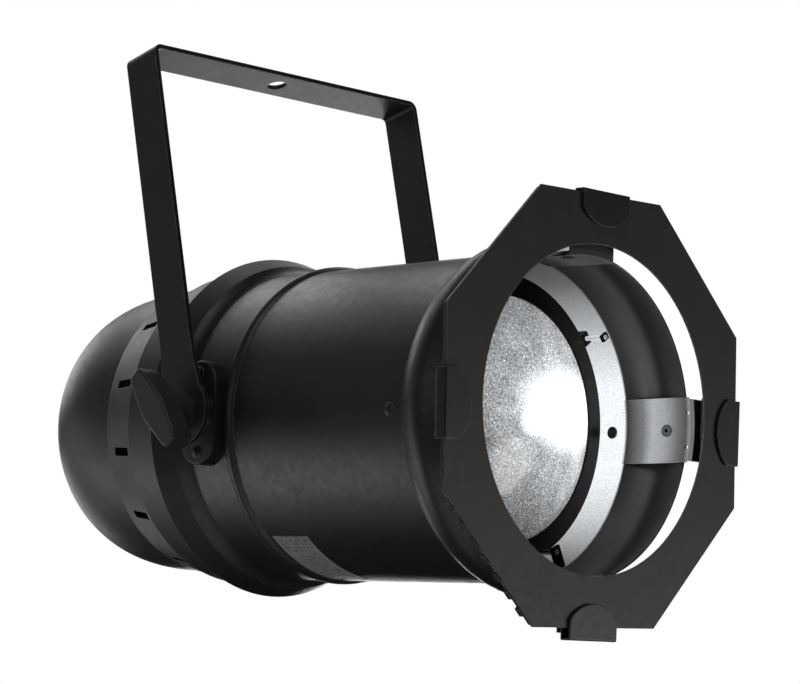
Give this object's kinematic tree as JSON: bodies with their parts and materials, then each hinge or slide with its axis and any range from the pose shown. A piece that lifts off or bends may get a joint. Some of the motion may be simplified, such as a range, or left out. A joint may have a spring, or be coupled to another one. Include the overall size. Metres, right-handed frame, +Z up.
{
  "type": "par can light",
  "caption": "Par can stage light: long round barrel with a zoom lens, domed vented rear, octagonal colour frame in clips, and a hanging yoke with tilt knobs.",
  "frame": {"origin": "centre of the yoke's hanging hole, at the top face of its bar", "axes": "+Z up along the hanging hole, +X along the tilt pivots, the light leaves towards -Y"},
  "size_m": [0.286, 0.4689, 0.4283],
  "materials": {
    "black_powder_coat": "satin powder coat",
    "yoke_powder_coat": "satin powder coat",
    "black_plastic": "moulded, fine texture",
    "button_plastic": "moulded",
    "zinc_steel": "zinc plated",
    "black_steel_screws": "black oxide",
    "cast_aluminium": "cast, bead blasted",
    "bright_aluminium": "bright anodised",
    "black_anodised": "matt black anodised",
    "lens_glass": "frosted back, polished crown",
    "brass": "turned",
    "fibre": "pressed fibre",
    "ceramic": "white ceramic",
    "phosphor": "silicone phosphor, lit",
    "circuit_board": "solder mask",
    "components": "moulded components",
    "display_window": "smoked window",
    "label_foil": "silver-grey foil"
  },
  "bodies": {
    "yoke": {"yoke": "yoke_powder_coat", "knob_washers": "zinc_steel"},
    "head": {"barrel": "black_powder_coat", "bracket_rivets": "black_powder_coat", "button_switches": "components", "chassis_plate": "zinc_steel", "clip_bottom": "black_powder_coat", "clip_left": "black_powder_coat", "clip_right": "black_powder_coat", "clip_rivets": "black_powder_coat", "clip_top": "black_powder_coat", "color_frame_front": "black_powder_coat", "color_frame_rear": "black_powder_coat", "control_board": "circuit_board", "data_in": "black_plastic", "data_out": "black_plastic", "display_module": "components", "display_window": "display_window", "engine_plate": "bright_aluminium", "engine_screws": "zinc_steel", "fan_bolts": "zinc_steel", "fan_frame": "black_plastic", "friction_washers": "fibre", "guide_rods": "zinc_steel", "heat_sink": "cast_aluminium", "led_board": "ceramic", "led_emitter": "phosphor", "motor_bracket": "zinc_steel", "panel_screws": "black_steel_screws", "pivot_bushes": "zinc_steel", "power_inlet": "black_plastic", "rating_label": "label_foil", "rear_dome": "black_powder_coat", "rear_housing": "black_powder_coat", "rear_panel": "black_powder_coat", "reflector": "bright_aluminium", "rod_brackets": "black_anodised", "side_bracket_left": "black_powder_coat", "side_bracket_right": "black_powder_coat", "supply_board": "circuit_board", "supply_parts": "components", "supply_posts": "zinc_steel", "weld_nuts": "zinc_steel", "zoom_motor": "zinc_steel"},
    "knob_left": {"knob_left": "black_plastic", "knob_stud_left": "zinc_steel"},
    "knob_right": {"knob_right": "black_plastic", "knob_stud_right": "zinc_steel"},
    "zoom_carriage": {"lens_glass": "lens_glass", "lens_bezel": "black_anodised", "lens_tube": "black_anodised", "lens_retainer": "black_anodised", "lens_screws": "black_steel_screws", "zoom_nut": "brass"},
    "zoom_screw": {"zoom_screw": "zinc_steel"},
    "fan_rotor": {"fan_rotor": "black_plastic"},
    "button_mode": {"button_mode": "button_plastic"},
    "button_down": {"button_down": "button_plastic"},
    "button_up": {"button_up": "button_plastic"},
    "button_set": {"button_set": "button_plastic"}
  },
  "joints": [
    {"name": "tilt", "type": "hinge", "parent": "yoke", "child": "head", "pos_m": [0, 0, -0.2414], "axis": [1, 0, 0], "range_deg": [-65, 215]},
    {"name": "knob_left_turn", "type": "hinge", "parent": "head", "child": "knob_left", "pos_m": [-0.13, 0, -0.2414], "axis": [-1, 0, 0], "range_deg": [0, 360]},
    {"name": "knob_right_turn", "type": "hinge", "parent": "head", "child": "knob_right", "pos_m": [0.13, 0, -0.2414], "axis": [1, 0, 0], "range_deg": [0, 360]},
    {"name": "zoom_slide", "type": "slide", "parent": "head", "child": "zoom_carriage", "axis": [0, 0.9681, 0.2504], "range_m": [0, 0.04]},
    {"name": "zoom_screw_turn", "type": "hinge", "parent": "head", "child": "zoom_screw", "pos_m": [0.03814, -0.10386, -0.34903], "axis": [0, 0.9681, 0.2504], "range_deg": [0, 1800.5]},
    {"name": "fan_spin", "type": "hinge", "parent": "head", "child": "fan_rotor", "pos_m": [0, 0.04889, -0.22876], "axis": [0, 0.9681, 0.2504], "continuous": true},
    {"name": "button_mode_press", "type": "slide", "parent": "head", "child": "button_mode", "axis": [0, -0.9681, -0.2504], "range_m": [0, 0.001], "stiffness_N_per_m": 400},
    {"name": "button_down_press", "type": "slide", "parent": "head", "child": "button_down", "axis": [0, -0.9681, -0.2504], "range_m": [0, 0.001], "stiffness_N_per_m": 400},
    {"name": "button_up_press", "type": "slide", "parent": "head", "child": "button_up", "axis": [0, -0.9681, -0.2504], "range_m": [0, 0.001], "stiffness_N_per_m": 400},
    {"name": "button_set_press", "type": "slide", "parent": "head", "child": "button_set", "axis": [0, -0.9681, -0.2504], "range_m": [0, 0.001], "stiffness_N_per_m": 400}
  ],
  "couplings": [
    {"joint": "zoom_screw_turn", "follows": "zoom_slide", "rad_per_m": 785.4}
  ]
}
